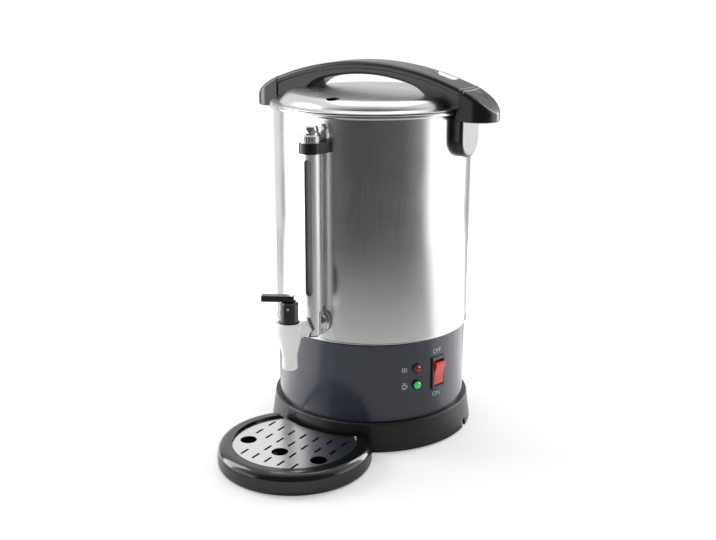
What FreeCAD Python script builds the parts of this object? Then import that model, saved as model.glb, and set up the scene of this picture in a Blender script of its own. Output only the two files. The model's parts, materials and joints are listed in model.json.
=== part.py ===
import FreeCAD, Part
import math
import os

# Hot drinks urn with a tap, a sight gauge, an arched lid handle and a loose drip tray.
# All sizes are in millimetres. The Z axis is the tank's axis and points up, with Z = 0 on the table.
# The tap points along -Y, and the side handles stand at +X and -X.

os.makedirs("parts", exist_ok=True)

Vec = FreeCAD.Vector
UP = Vec(0, 0, 1)
ORIGIN = Vec(0, 0, 0)

# How far in from a rounded corner the middle of its arc lies, as a share of the corner's radius
ARC_MIDDLE = 1 - 1 / math.sqrt(2)

# Driving dimensions of the tank and the base
TANK_R = 110.0
TANK_WALL = 0.8
TANK_BOTTOM_Z = 124.8
TANK_FLOOR_Z = 131.0
TANK_FLOOR_SHEET = 1.0
TANK_CORNER_R = 6.0
LOW_BEAD_OUT = 0.9
LOW_BEAD_TALL = 2.4
RIM_Z = 370.0
RIM_BEAD_R = 2.6
RIM_BEAD_OUT = 1.6
BAND_R = 108.5
BAND_WALL = 1.2
BAND_TOP_ROUND = 1.5
BAND_LIP = 8.0
RING_TOP_R = 113.6
RING_FOOT_R = 117.8
RING_TOP_Z = 34.0
RING_FOOT_Z = 1.5
RING_WALL = 3.2
RING_TOP_ROUND = 1.8
PAN_R = 104.0
PAN_FLANGE_R = 108.8
PAN_SHEET = 1.0
PAN_CORNER_R = 6.0
PAN_SLOTS = 12
BASE_PLATE_Z = 6.0
FOOT_R = 9.0
FOOT_CIRCLE_R = 88.0
NOTCH_ANGLE = 97.5
NOTCH_HALF_WIDTH = 5.4
NOTCH_TOP_Z = 10.5
BASE_SCREW_R = 1.5
BASE_SCREW_CIRCLE_R = 106.4
BASE_SCREW_ANGLE = 20.0
FOOT_ANGLE = 45.0

# Heating parts and percolator
PLATE_R = 74.0
PLATE_LOW_Z = TANK_FLOOR_Z - 6.0
ELEMENT_R = 58.0
WARM_ELEMENT_R = 34.0
ELEMENT_LEG = 20.0
WARM_ELEMENT_LEG = 16.0
STUD_LOW_Z = TANK_FLOOR_Z - 27.0
CLAMP_LOW_Z = TANK_FLOOR_Z - 19.0
STEM_R = 5.0
STEM_TOP_Z = 356.0
BASKET_LOW_Z = 272.0
BASKET_HIGH_Z = 334.0
BASKET_R = 52.0
BASKET_SHEET = 0.8
BASKET_LIP = 2.2
BASKET_CORNER_R = 3.0
BASKET_HOLE_R = 1.4
BASKET_HOLE_ROWS = ((14, 8), (22, 12), (30, 18), (38, 24), (45, 28))
COVER_HOLE_ROWS = ((14, 8), (24, 14), (34, 20), (44, 26))

# Lid and arch handle
LID_FLANGE_Z = 373.0
LID_FLANGE_R = 113.4
LID_SHEET = 0.8
LID_CROWN_Z = 388.0
LID_SHOULDER_R = 86.8
LID_SHOULDER_Z = 384.6
LID_STEP_R = 103.0
LID_STEP_RISE = 2.2
VENT_R = 7.5
VENT_X = 3.0
VENT_Y = -86.0
ARCH_TOP_Z = 417.6
ARCH_TOP_CURVE_R = 316.0
ARCH_END_R = 117.0
ARCH_MID_HALF_WIDTH = 18.5
ARCH_END_HALF_WIDTH = 21.5
ARCH_SPLIT = 7.0
ARCH_GROOVE = 0.8
ARCH_ROUND = 5.0
ARCH_UNDER_Z = 403.6
ARCH_UNDER_ROUND = 3.0
ARCH_KNEE_X = 55.5
ARCH_KNEE_Z = 396.0
ARCH_LEG_X = 81.0
ARCH_LOW_Z = 370.0
ARCH_HIGH_Z = 430.0
SEAM_GAP = 0.6
LID_SCREW_X = 92.0
LID_SCREW_Y = 9.0
LID_SCREW_SEAT_Z = 380.6
LID_SCREW_HEAD_TALL = 1.9
LID_SCREW_TIP_Z = 392.0
ARCH_SLOT_X = 85.5
ARCH_SLOT_Y = 5.5
ARCH_SLOT_R = 1.8
ARCH_SLOT_LENGTH = 28.0
ARCH_SLOT_SLOPE = 14.0

# Side handles
LUG_HALF_WIDTH = 20.8
LUG_FACE_X = 120.6
LUG_BOTTOM_Z = 321.0
LUG_ROUND = 3.0
GRIP_NOSE_X = 151.5
GRIP_NOSE_Z = 367.5
GRIP_BEND_X = 131.0
GRIP_BEND_Z = 388.0
GRIP_UNDER_Z = 361.0
GRIP_HALF_WIDTH = 21.2
GRIP_ROUND = 4.4
GRIP_LOW_ROUND = 1.6
THUMB_BALL_R = 46.0
THUMB_DEPTH = 1.0
THUMB_X = 134.5
THUMB_Z = 385.6
THUMB_LEAN = 28.0
HANDLE_SCREW_TIP_X = 116.0
HANDLE_SCREW_R = 2.0
HANDLE_SCREW_HEAD_R = 4.4
HANDLE_SCREW_DRIVE_R = 1.4
SCREW_Y = 9.0
SCREW_Z = 345.0

# Outlet, gauge and tap
OUTLET_Z = 148.0
FLANGE_R = 14.0
FLANGE_THICK = 3.6
WASHER_THICK = 2.6
INNER_WASHER_THICK = 3.4
SHANK_R = 6.2
SHANK_BORE_R = 4.0
OUTLET_HOLE_R = 7.0
OUTLET_NUT_WIDTH = 19.0
TAP_NUT_WIDTH = 18.0
NUT_FIT = 0.05
COLLAR_R = 9.2
SOCKET_R = 9.6
GAUGE_Y = -125.2
TAP_Y = -168.0
GUARD_R = 11.0
GUARD_WALL = 0.8
GUARD_BOTTOM_Z = 164.3
GUARD_TOP_Z = 345.0
GUARD_SLOT_WIDTH = 7.6
GUARD_SLOT_LOW_Z = 182.7
GUARD_SLOT_HIGH_Z = 328.0
GUARD_SLOT_TURN = 17.0
GLASS_R = 5.5
GLASS_WALL = 1.2
GLASS_SEAL_R = GLASS_R + 1.4
BRACKET_LOW_Z = 333.5
BRACKET_HIGH_Z = 344.6
BRACKET_PAD_HALF = 17.0
BRACKET_STRAP = 1.3
CAP_SKIRT_TALL = 8.0
CAP_TALL = 17.2
CAP_FLUTES = 20
CAP_FLUTE_R = 0.7
CAP_FACETS = 6
KNOB_R = 9.6
TAP_NUT_Y = GAUGE_Y - 10.6
TAP_NUT_THICK = 5.5
CUP_TOP_Z = 163.3
CUP_BAND_Z = 152.6
CUP_R = 14.1
CUP_WALL = 2.6
NOZZLE_R = 8.1
NOZZLE_WALL = 1.8
NOZZLE_BOTTOM_Z = 111.8
NOZZLE_TOP_Z = 127.4
BONNET_R = 9.6
BONNET_TOP_Z = 185.4
LEVER_ANGLE = -62.0
LEVER_LENGTH = 28.4
LEVER_BACK = 5.8
LEVER_WIDTH = 9.0
LEVER_THICK = 6.2
PIN_Z = BONNET_TOP_Z - 6.0
PIN_R = 1.5
PIN_FIT = 0.06
BONNET_WELL_R = 8.1
SEAT_Z = OUTLET_Z - 10.0
SEAT_BORE_R = 4.4
SEAT_OUTER_R = 7.2
TAP_STEM_R = 2.0
STEM_HEAD_Z = PIN_Z - 6.0
STEM_HEAD_R = 4.0
STEM_HEAD_THICK = 1.0
LEVER_NECK_HALF = 2.4
TOE_TOP_Z = PIN_Z - 6.3
TOE_THICK = 1.5
TOE_BACK_Y = 5.5

# Switch, lamps and inlet on the band
SWITCH_ANGLE = 73.6
SWITCH_Z = 83.0
SWITCH_WIDTH = 20.4
SWITCH_HEIGHT = 37.0
ROCKER_WIDTH = 14.0
ROCKER_HEIGHT = 28.0
ROCKER_SWING_ROOM = 2.4
ROCKER_PIVOT_R = BAND_R - 3.0
ROCKER_TILT = 9.0
LAMP_ANGLE = 58.0
RED_LAMP_Z = 93.2
GREEN_LAMP_Z = 74.4
LAMP_R = 5.6
INLET_ANGLE = 180.0
INLET_Z = 76.0
INLET_WIDTH = 27.0
INLET_HEIGHT = 20.0
INLET_FLANGE = 2.5
INLET_CORNER_R = 3.0
INLET_PIN_SPOTS = ((-7, -1.6), (7, -1.6), (0, 2.4))
SWITCH_OVERLAP = 1.5

# Drip tray, which stands loose in front of the base
TRAY_X = -2.4
TRAY_Y = -157.9
TRAY_R = 83.6
TRAY_HEIGHT = 25.2
TRAY_BITE_R = 119.2
TRAY_ROUND = 9.5
TRAY_LOW_ROUND = 6.0
TRAY_CORNER_R = 12.0
TRAY_FLOOR = 2.2
GRID_R = 67.1
GRID_BITE_R = 123.2
GRID_FIT = 0.5
GRID_TOP_Z = 22.4
GRID_SHEET = 1.2
CUP_HOLE_R = 9.0
HOLE_PITCH = 46.0
HOLE_ROW = 2
SLOT_PITCH = 16.2
SLOT_LENGTH = 13.4
SLOT_WIDTH = 2.8
ROW_RADII = (142.0, 164.0, 186.0, 207.5)


def save(name, shape):
    """Write one node, and say if a solid in it isn't valid."""
    solids = shape.Solids
    if not shape.isValid() or not solids:
        print("INVALID", name)
    shape.exportStep("parts/" + name + ".step")
    print(name, len(solids), round(shape.Volume, 1))


def cylinder(radius, low, high, x=0.0, y=0.0):
    """An upright cylinder between two heights."""
    return Part.makeCylinder(radius, high - low, Vec(x, y, low))


def rod(radius, start, end):
    """A cylinder from one point to another."""
    along = end - start
    return Part.makeCylinder(radius, along.Length, start, along)


def block(x0, x1, y0, y1, z0, z1):
    """A box between two corners."""
    return Part.makeBox(x1 - x0, y1 - y0, z1 - z0, Vec(x0, y0, z0))


def outline_edges(points):
    """Edges of a closed outline. A third point given between two corners makes an arc through it."""
    edges = []
    here = Vec(points[0][0], 0, points[0][1])
    through = None
    for item in points[1:] + [points[0]]:
        spot = Vec(item[0], 0, item[1])
        if len(item) == 3:
            through = spot
            continue
        if through is not None:
            edges.append(Part.Arc(here, through, spot).toShape())
            through = None
        elif (spot - here).Length > 1e-6:
            edges.append(Part.LineSegment(here, spot).toShape())
        here = spot
    return edges


def face_xz(points):
    """A flat face in the XZ plane from an outline."""
    return Part.Face(Part.Wire(outline_edges(points)))


def turned(points):
    """A solid turned about the Z axis from an outline of (radius, height) points."""
    return face_xz(points).revolve(ORIGIN, UP, 360)


def pulled(points, half_width):
    """An XZ outline pulled to both sides along Y."""
    face = face_xz(points)
    face.translate(Vec(0, -half_width, 0))
    return face.extrude(Vec(0, 2 * half_width, 0))


def pulled_up(points, low, high):
    """A plan outline pulled up between two heights. Its second numbers run along -Y."""
    face = face_xz(points)
    face.rotate(ORIGIN, Vec(1, 0, 0), 90)
    flat = face.extrude(Vec(0, 0, high - low))
    flat.translate(Vec(0, 0, low))
    return flat


def at_angle(shape, degrees):
    """Turn a shape about the tank's axis. At 0 a shape stands at -Y, and at 90 at +X."""
    copy = shape.copy()
    copy.rotate(ORIGIN, UP, degrees)
    return copy


def hexagon(width, start, end):
    """A hexagonal bar of a given width across its flats."""
    along = end - start
    corner = width / math.sqrt(3)
    points = []
    for index in range(6):
        turn = math.radians(60 * index)
        points.append(Vec(corner * math.cos(turn), corner * math.sin(turn), 0))
    points.append(points[0])
    bar = Part.Face(Part.makePolygon(points)).extrude(Vec(0, 0, along.Length))
    bar.Placement = FreeCAD.Placement(start, FreeCAD.Rotation(UP, along))
    return bar


def tube_path(points, radius, bend):
    """A round bar along straight runs joined by tangent arcs of one bend radius."""
    edges = []
    here = points[0]
    for index in range(1, len(points) - 1):
        corner = points[index]
        back = (points[index - 1] - corner).normalize()
        ahead = (points[index + 1] - corner).normalize()
        half = math.acos(max(-1.0, min(1.0, back.dot(ahead)))) / 2
        reach = bend / math.tan(half)
        start = corner + back * reach
        end = corner + ahead * reach
        middle = (back + ahead).normalize()
        centre = corner + middle * (bend / math.sin(half))
        through = centre - middle * bend
        edges.append(Part.LineSegment(here, start).toShape())
        edges.append(Part.Arc(start, through, end).toShape())
        here = end
    edges.append(Part.LineSegment(here, points[-1]).toShape())
    path = Part.Wire(edges)
    ring = Part.Wire(Part.makeCircle(radius, points[0], points[1] - points[0]))
    return path.makePipeShell([ring], True, False)


def edges_where(shape, test):
    """Edges whose middle point passes a test."""
    found = []
    for edge in shape.Edges:
        middle = edge.valueAt((edge.FirstParameter + edge.LastParameter) / 2)
        if test(edge, middle):
            found.append(edge)
    return found


def compound(shapes):
    """Several separate solids kept as one group."""
    return Part.makeCompound(shapes)


# Tank: one drawn sheet with a rolled rim, a rolled lower edge and a flat floor
def make_tank():
    inner = TANK_R - TANK_WALL
    bead_x = TANK_R + RIM_BEAD_OUT
    dip = math.sqrt(RIM_BEAD_R ** 2 - RIM_BEAD_OUT ** 2)
    slant = RIM_BEAD_R / math.sqrt(2)
    corner = TANK_CORNER_R * ARC_MIDDLE
    tank = turned([
        (0, TANK_FLOOR_Z - TANK_FLOOR_SHEET),
        (inner, TANK_FLOOR_Z - TANK_FLOOR_SHEET),
        (inner, TANK_BOTTOM_Z),
        (TANK_R, TANK_BOTTOM_Z),
        (TANK_R + LOW_BEAD_OUT, TANK_BOTTOM_Z + LOW_BEAD_TALL / 2, "arc"),
        (TANK_R, TANK_BOTTOM_Z + LOW_BEAD_TALL),
        (TANK_R, RIM_Z - dip),
        (bead_x + RIM_BEAD_R, RIM_Z, "arc"),
        (bead_x, RIM_Z + RIM_BEAD_R),
        (bead_x - slant, RIM_Z + slant, "arc"),
        (inner, RIM_Z + 1.0),
        (inner, TANK_FLOOR_Z + TANK_CORNER_R),
        (inner - corner, TANK_FLOOR_Z + corner, "arc"),
        (inner - TANK_CORNER_R, TANK_FLOOR_Z),
        (0, TANK_FLOOR_Z),
    ])
    outlet = rod(OUTLET_HOLE_R, Vec(0, -90, OUTLET_Z), Vec(0, -TANK_R - 10, OUTLET_Z))
    return tank.cut(outlet).cut(handle_screw_holes())


# Handle screws run from inside the tank into the lugs, two on each side
def handle_screw_spots():
    spots = []
    for side in (-1, 1):
        for y in (-SCREW_Y, SCREW_Y):
            spots.append((side, y))
    return spots


def handle_screw_holes():
    holes = []
    for side, y in handle_screw_spots():
        holes.append(rod(HANDLE_SCREW_R + 0.3, Vec(side * 100, y, SCREW_Z), Vec(side * 118, y, SCREW_Z)))
    return compound(holes)


def make_handle_screws():
    screws = []
    for side, y in handle_screw_spots():
        shank = rod(HANDLE_SCREW_R, Vec(side * 106.0, y, SCREW_Z), Vec(side * HANDLE_SCREW_TIP_X, y, SCREW_Z))
        head = rod(HANDLE_SCREW_HEAD_R, Vec(side * 105.4, y, SCREW_Z), Vec(side * 107.8, y, SCREW_Z))
        head = head.makeFillet(1.0, edges_where(head, lambda e, m: abs(m.x) < 106 and e.Closed and e.Length > 20))
        drive = rod(HANDLE_SCREW_DRIVE_R, Vec(side * 105.0, y, SCREW_Z), Vec(side * 106.4, y, SCREW_Z))
        screws.append(shank.fuse(head).cut(drive))
    return compound(screws)


# Painted band round the base, with openings for the switch, the lamps and the inlet
def facing_box(width, height, depth_in, depth_out, z):
    """A box at -Y that crosses the band's wall, centred on a height."""
    return block(-width / 2, width / 2, -(BAND_R + depth_out), -(BAND_R - depth_in), z - height / 2, z + height / 2)


def lamp_bore(radius, z, near=90.0, far=125.0):
    return rod(radius, Vec(0, -near, z), Vec(0, -far, z))


def make_band():
    inner = BAND_R - BAND_WALL
    top = TANK_BOTTOM_Z - 0.2
    corner = BAND_TOP_ROUND * ARC_MIDDLE
    band = turned([
        (inner, RING_TOP_Z - 0.6),
        (BAND_R, RING_TOP_Z - 0.6),
        (BAND_R, top - BAND_TOP_ROUND),
        (BAND_R - corner, top - corner, "arc"),
        (BAND_R - BAND_TOP_ROUND, top),
        (inner - BAND_LIP, top),
        (inner - BAND_LIP, top - 1.0),
        (inner, top - 2.2),
    ])
    hidden = 2 * SWITCH_OVERLAP
    window = facing_box(SWITCH_WIDTH - hidden, SWITCH_HEIGHT - hidden, 12, 8, SWITCH_Z)
    band = band.cut(at_angle(window, SWITCH_ANGLE))
    for z in (RED_LAMP_Z, GREEN_LAMP_Z):
        band = band.cut(at_angle(lamp_bore(LAMP_R - 1.0, z), LAMP_ANGLE))
    return band.cut(at_angle(facing_box(INLET_WIDTH + 1, INLET_HEIGHT + 1, 12, 8, INLET_Z), INLET_ANGLE))


# Moulded foot ring, slightly flared, with a small notch in its lower edge
def make_ring():
    corner = RING_TOP_ROUND * ARC_MIDDLE
    ring = turned([
        (BAND_R + 0.2, RING_TOP_Z),
        (RING_TOP_R - RING_TOP_ROUND, RING_TOP_Z),
        (RING_TOP_R - corner, RING_TOP_Z - corner, "arc"),
        (RING_TOP_R, RING_TOP_Z - RING_TOP_ROUND),
        (RING_FOOT_R, RING_FOOT_Z + 1.0),
        (RING_FOOT_R - 0.9, RING_FOOT_Z),
        (RING_FOOT_R - RING_WALL, RING_FOOT_Z),
        (RING_TOP_R - RING_WALL, RING_TOP_Z - 4.0),
        (PAN_R, RING_TOP_Z - 4.0),
        (PAN_R, RING_TOP_Z - 0.8),
        (BAND_R + 0.2, RING_TOP_Z - 0.8),
    ])
    half = NOTCH_HALF_WIDTH
    notch = block(-half, half, -125, -106, 0, NOTCH_TOP_Z)
    notch = notch.makeFillet(1.4, edges_where(notch, lambda e, m: m.z > NOTCH_TOP_Z - 0.1 and abs(m.x) > half - 0.01))
    bore = cylinder(BASE_SCREW_R + 0.02, RING_TOP_Z - 6, RING_TOP_Z - 1.5, 0, -BASE_SCREW_CIRCLE_R)
    bores = [at_angle(bore, BASE_SCREW_ANGLE + index * 90) for index in range(4)]
    return ring.cut(at_angle(notch, NOTCH_ANGLE)).cut(compound(bores))


# Pressed steel pan that closes the base, with cooling slots
def make_base_pan():
    low = BASE_PLATE_Z
    floor = low + PAN_SHEET
    flange = RING_TOP_Z - 4.0
    inner = PAN_R - PAN_SHEET
    corner = PAN_CORNER_R * ARC_MIDDLE
    pan = turned([
        (0, low),
        (PAN_R - PAN_CORNER_R, low),
        (PAN_R - corner, low + corner, "arc"),
        (PAN_R, low + PAN_CORNER_R),
        (PAN_R, flange - PAN_SHEET),
        (PAN_FLANGE_R, flange - PAN_SHEET),
        (PAN_FLANGE_R, flange),
        (inner, flange),
        (inner, floor + PAN_CORNER_R),
        (inner - corner, floor + corner, "arc"),
        (inner - PAN_CORNER_R, floor),
        (0, floor),
    ])
    slots = []
    for index in range(PAN_SLOTS):
        slot = block(-2, 2, -66, -46, low - 2, low + 4)
        slots.append(at_angle(slot, (index + 0.5) * 360.0 / PAN_SLOTS))
    for index in range(4):
        slots.append(at_angle(cylinder(3.0, low - 2, low + 4, 0, -FOOT_CIRCLE_R), FOOT_ANGLE + index * 90))
        bore = cylinder(BASE_SCREW_R + 0.2, flange - 4, flange + 4, 0, -BASE_SCREW_CIRCLE_R)
        slots.append(at_angle(bore, BASE_SCREW_ANGLE + index * 90))
    return pan.cut(compound(slots))


def make_base_screws():
    screws = []
    low = RING_TOP_Z - 5.0
    for index in range(4):
        shank = cylinder(BASE_SCREW_R, low - 0.2, low + 3.2, 0, -BASE_SCREW_CIRCLE_R)
        head = cylinder(2.2, low - 1.8, low, 0, -BASE_SCREW_CIRCLE_R)
        screws.append(at_angle(head.fuse(shank), BASE_SCREW_ANGLE + index * 90))
    return compound(screws)


def make_feet():
    foot = turned([
        (0, 0), (FOOT_R - 1, 0), (FOOT_R, 1.0), (FOOT_R - 1.2, BASE_PLATE_Z), (2.9, BASE_PLATE_Z),
        (2.9, BASE_PLATE_Z + 1.2), (4.4, BASE_PLATE_Z + 1.8), (2.4, BASE_PLATE_Z + 5), (0, BASE_PLATE_Z + 5),
    ])
    foot.translate(Vec(0, -FOOT_CIRCLE_R, 0))
    return compound([at_angle(foot, FOOT_ANGLE + index * 90) for index in range(4)])


# Heating parts under the tank's floor
def open_loop(radius, tube, z, opening, leg):
    """A round element with a gap at -Y and two legs that turn down at its ends."""
    half = math.radians(opening)
    x = radius * math.sin(half)
    y = -radius * math.cos(half)
    ring_arc = Part.Arc(Vec(x, y, z), Vec(0, radius, z), Vec(-x, y, z)).toShape()
    section = Part.Wire(Part.makeCircle(tube, Vec(x, y, z), Vec(math.cos(half), math.sin(half), 0)))
    loop = Part.Wire([ring_arc]).makePipeShell([section], True, False)
    for side in (-1, 1):
        knuckle = Part.makeSphere(tube, Vec(side * x, y, z))
        loop = loop.fuse(knuckle).fuse(cylinder(tube, z - leg, z, side * x, y))
    return loop


def make_heater_plate():
    plate = cylinder(PLATE_R, PLATE_LOW_Z, TANK_FLOOR_Z - TANK_FLOOR_SHEET)
    return plate.cut(cylinder(3.2, PLATE_LOW_Z - 1, TANK_FLOOR_Z))


def make_clamp():
    bar = block(-66, 66, -7, 7, CLAMP_LOW_Z, CLAMP_LOW_Z + 2.5)
    feet = [block(side * 58 - 5, side * 58 + 5, -7, 7, CLAMP_LOW_Z + 2.5, CLAMP_LOW_Z + 5) for side in (-1, 1)]
    return bar.fuse(feet[0]).fuse(feet[1]).cut(cylinder(3.3, CLAMP_LOW_Z - 1, CLAMP_LOW_Z + 6))


def make_clamp_stud():
    stud = cylinder(3.0, STUD_LOW_Z, TANK_FLOOR_Z - TANK_FLOOR_SHEET)
    nut = hexagon(10, Vec(0, 0, CLAMP_LOW_Z - 5), Vec(0, 0, CLAMP_LOW_Z))
    return stud.fuse(nut)


def disc_switch(radius, height, angle):
    """A round temperature switch that sits against the tank's floor, with two blade tags."""
    top = TANK_FLOOR_Z - TANK_FLOOR_SHEET
    body = cylinder(radius, top - height, top, 0, -88)
    flange = cylinder(radius + 2.5, top - 1.5, top, 0, -88)
    shape = body.fuse(flange)
    for side in (-1, 1):
        tag = block(side * 5 - 2.4, side * 5 + 2.4, -88.4, -87.6, top - height - 8, top - height + 1)
        shape = shape.fuse(tag)
    return at_angle(shape, angle)


def make_terminal_block():
    low = BASE_PLATE_Z + 1.0
    body = block(-24, 24, 40, 56, low, low + 14)
    body = body.makeFillet(1.5, edges_where(body, lambda e, m: m.z > low + 13))
    for index in range(4):
        body = body.cut(cylinder(2.2, low + 7, low + 20, -16.5 + index * 11, 48))
    return body


def make_wiring():
    """Insulated leads from the terminal block up to the elements, the switch and the inlet."""
    low = BASE_PLATE_Z + 15.4
    gap = math.radians(16)
    leads = []
    for side, start_x in ((-1, -16.5), (1, 16.5)):
        x = side * ELEMENT_R * math.sin(gap)
        y = -ELEMENT_R * math.cos(gap)
        route = [Vec(start_x, 48, low), Vec(start_x, 48, 60), Vec(x, y, 70), Vec(x, y, 99.8)]
        leads.append(tube_path(route, 1.6, 14.0))
    route = [Vec(5.5, 48, low), Vec(5.5, 48, 50), Vec(70, 40, 55), Vec(78, 20, 80), Vec(88.5, 14, 84)]
    leads.append(tube_path(route, 1.6, 9.0))
    route = [Vec(-5.5, 48, low), Vec(-5.5, 48, 48), Vec(-9, 66, 66), Vec(-9, 86.0, 76)]
    leads.append(tube_path(route, 1.6, 7.0))
    return compound(leads)


# Percolator: a stem that stands on the tank floor and carries a basket
def make_pump_stem():
    floor = TANK_FLOOR_Z
    stem = turned([
        (4.0, floor + 12), (28, floor + 9), (33.2, floor), (34, floor), (34, floor + 0.8), (29, floor + 10),
        (STEM_R, floor + 13.2), (STEM_R, BASKET_LOW_Z - 6), (STEM_R + 4, BASKET_LOW_Z - 2),
        (STEM_R + 4, BASKET_LOW_Z), (STEM_R, BASKET_LOW_Z), (STEM_R, STEM_TOP_Z), (4.0, STEM_TOP_Z),
    ])
    ports = [at_angle(block(-4, 4, -40, -28, floor - 1, floor + 3), 60 * index) for index in range(6)]
    return stem.cut(compound(ports))


def ring_of_holes(radius, circle, count, low, high, phase=0.0):
    holes = []
    for index in range(count):
        holes.append(at_angle(cylinder(radius, low, high, 0, -circle), phase + index * 360.0 / count))
    return holes


def make_basket():
    low = BASKET_LOW_Z
    bore = STEM_R + 0.5
    floor = low + BASKET_SHEET
    inner = BASKET_R - BASKET_SHEET
    lip = BASKET_R + BASKET_LIP
    corner = BASKET_CORNER_R * ARC_MIDDLE
    inner_corner = (BASKET_CORNER_R - BASKET_SHEET) * ARC_MIDDLE
    cup = turned([
        (bore, low), (BASKET_R - BASKET_CORNER_R, low), (BASKET_R - corner, low + corner, "arc"),
        (BASKET_R, low + BASKET_CORNER_R), (BASKET_R, BASKET_HIGH_Z - BASKET_SHEET),
        (lip, BASKET_HIGH_Z - BASKET_SHEET), (lip, BASKET_HIGH_Z), (inner, BASKET_HIGH_Z),
        (inner, low + BASKET_CORNER_R), (inner - inner_corner, floor + inner_corner, "arc"),
        (BASKET_R - BASKET_CORNER_R, floor), (bore + BASKET_SHEET, floor),
        (bore + BASKET_SHEET, BASKET_HIGH_Z - 6), (bore, BASKET_HIGH_Z - 6),
    ])
    holes = []
    for circle, count in BASKET_HOLE_ROWS:
        holes += ring_of_holes(BASKET_HOLE_R, circle, count, low - 1, low + 2)
    return cup.cut(compound(holes))


def make_basket_cover():
    low = BASKET_HIGH_Z
    bore = STEM_R + 0.6
    lip = BASKET_R + BASKET_LIP
    wall = bore + BASKET_SHEET
    cover = turned([
        (bore, low + 0.4), (BASKET_R - 2, low + 0.4), (BASKET_R - 2, low), (lip, low),
        (lip, low + 1.2), (wall, low + 1.2), (wall, low + 8), (bore, low + 8),
    ])
    holes = []
    for circle, count in COVER_HOLE_ROWS:
        holes += ring_of_holes(BASKET_HOLE_R, circle, count, low - 1, low + 3, 6.0)
    return cover.cut(compound(holes))


# Lid: one pressed sheet with a flat rim, a stepped shoulder and a low crown
def crown_point():
    """A point of the low crown half way out to the shoulder."""
    half = LID_SHOULDER_R / 2
    return half, LID_CROWN_Z - (LID_CROWN_Z - LID_SHOULDER_Z) / 4


def shoulder_bend(inset):
    """Middle and foot of the rounded shoulder, a given depth inside the lid's outer skin."""
    run = LID_STEP_R - 1.0 - LID_SHOULDER_R
    fall = LID_SHOULDER_Z - LID_FLANGE_Z - LID_STEP_RISE
    bend = (run ** 2 + fall ** 2) / (2 * fall)
    foot_turn = math.acos(run / bend)
    spots = []
    for turn in ((math.pi / 2 + foot_turn) / 2, foot_turn):
        reach = bend - inset
        spots.append((LID_SHOULDER_R + reach * math.cos(turn), LID_SHOULDER_Z - bend + reach * math.sin(turn)))
    return spots


def lid_outer_outline(lift):
    """The lid's outer skin from the middle to the flange, raised by a small lift."""
    crown_r, crown_z = crown_point()
    middle, foot = shoulder_bend(0.0)
    return [
        (0, LID_CROWN_Z + lift),
        (crown_r, crown_z + lift, "arc"),
        (LID_SHOULDER_R, LID_SHOULDER_Z + lift),
        (middle[0] + lift, middle[1] + lift, "arc"),
        (foot[0] + lift, foot[1] + lift),
        (LID_STEP_R + 0.6 + lift, LID_FLANGE_Z + LID_SHEET + lift),
    ]


def make_lid_pan():
    inner_z = LID_FLANGE_Z
    crown_r, crown_z = crown_point()
    middle, foot = shoulder_bend(LID_SHEET)
    lid = turned(lid_outer_outline(0.0) + [
        (LID_FLANGE_R - 0.8, inner_z + LID_SHEET),
        (LID_FLANGE_R, inner_z + 0.4, "arc"),
        (LID_FLANGE_R - 0.8, inner_z),
        (LID_STEP_R + 0.9, inner_z),
        (LID_STEP_R + 0.9, inner_z - 6.5),
        (LID_STEP_R + 0.1, inner_z - 6.5),
        (LID_STEP_R + 0.1, inner_z + 0.6),
        foot,
        (middle[0], middle[1], "arc"),
        (LID_SHOULDER_R, LID_SHOULDER_Z - LID_SHEET),
        (crown_r, crown_z - LID_SHEET, "arc"),
        (0, LID_CROWN_Z - LID_SHEET),
    ])
    vent = cylinder(VENT_R, LID_FLANGE_Z, LID_CROWN_Z + 5, VENT_X, VENT_Y)
    return lid.cut(vent).cut(compound(lid_screw_bores(2.3)))


def make_lid_seal():
    outer = TANK_R - TANK_WALL - 0.5
    top = LID_FLANGE_Z - 0.1
    inner = LID_STEP_R + 1.3
    return turned([
        (inner, top - 6.0), (outer - 1.2, top - 6.0), (outer - 0.5, top - 4.0), (outer - 1.2, top - 2.4),
        (outer, top - 1.0), (outer, top), (inner, top),
    ])


# Arched lid handle, moulded in two halves with a groove between them
def arch_plan(inset):
    """The arch seen from above, pulled up past its whole height."""
    end = ARCH_END_R + 8
    mid = ARCH_MID_HALF_WIDTH - inset
    wide = ARCH_END_HALF_WIDTH - inset
    return pulled_up([
        (-end, -wide), (0, -mid, "arc"), (end, -wide), (end, wide), (0, mid, "arc"), (-end, wide),
    ], ARCH_LOW_Z, ARCH_HIGH_Z)


def arch_band(drop_top, points_below):
    """The arch's side outline: a long arc on top, lowered by a drop, and given points below."""
    radius = ARCH_TOP_CURVE_R - drop_top
    centre = ARCH_TOP_Z - ARCH_TOP_CURVE_R
    end = ARCH_END_R + 4
    end_z = centre + math.sqrt(radius ** 2 - end ** 2)
    return [(-end, end_z), (0, centre + radius, "arc"), (end, end_z)] + points_below


def arch_ends():
    """An upright round bar that trims the arch's ends to the lid's circle."""
    return cylinder(ARCH_END_R, ARCH_LOW_Z, ARCH_HIGH_Z)


def arch_slot():
    """A flat sloping slot from the top of the arch's right end out through its far side."""
    half = ARCH_SLOT_LENGTH / 2 - ARCH_SLOT_R
    bar = block(-half, half, -ARCH_SLOT_R, ARCH_SLOT_R, -40, 40)
    for x in (-half, half):
        bar = bar.fuse(cylinder(ARCH_SLOT_R, -40, 40, x))
    bar.rotate(ORIGIN, Vec(1, 0, 0), 90 - ARCH_SLOT_SLOPE)
    bar.rotate(ORIGIN, Vec(0, 1, 0), math.degrees(math.asin(ARCH_SLOT_X / ARCH_TOP_CURVE_R)))
    top = ARCH_TOP_Z - ARCH_TOP_CURVE_R + math.sqrt(ARCH_TOP_CURVE_R ** 2 - ARCH_SLOT_X ** 2)
    bar.translate(Vec(ARCH_SLOT_X, ARCH_SLOT_Y, top))
    return bar


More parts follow.
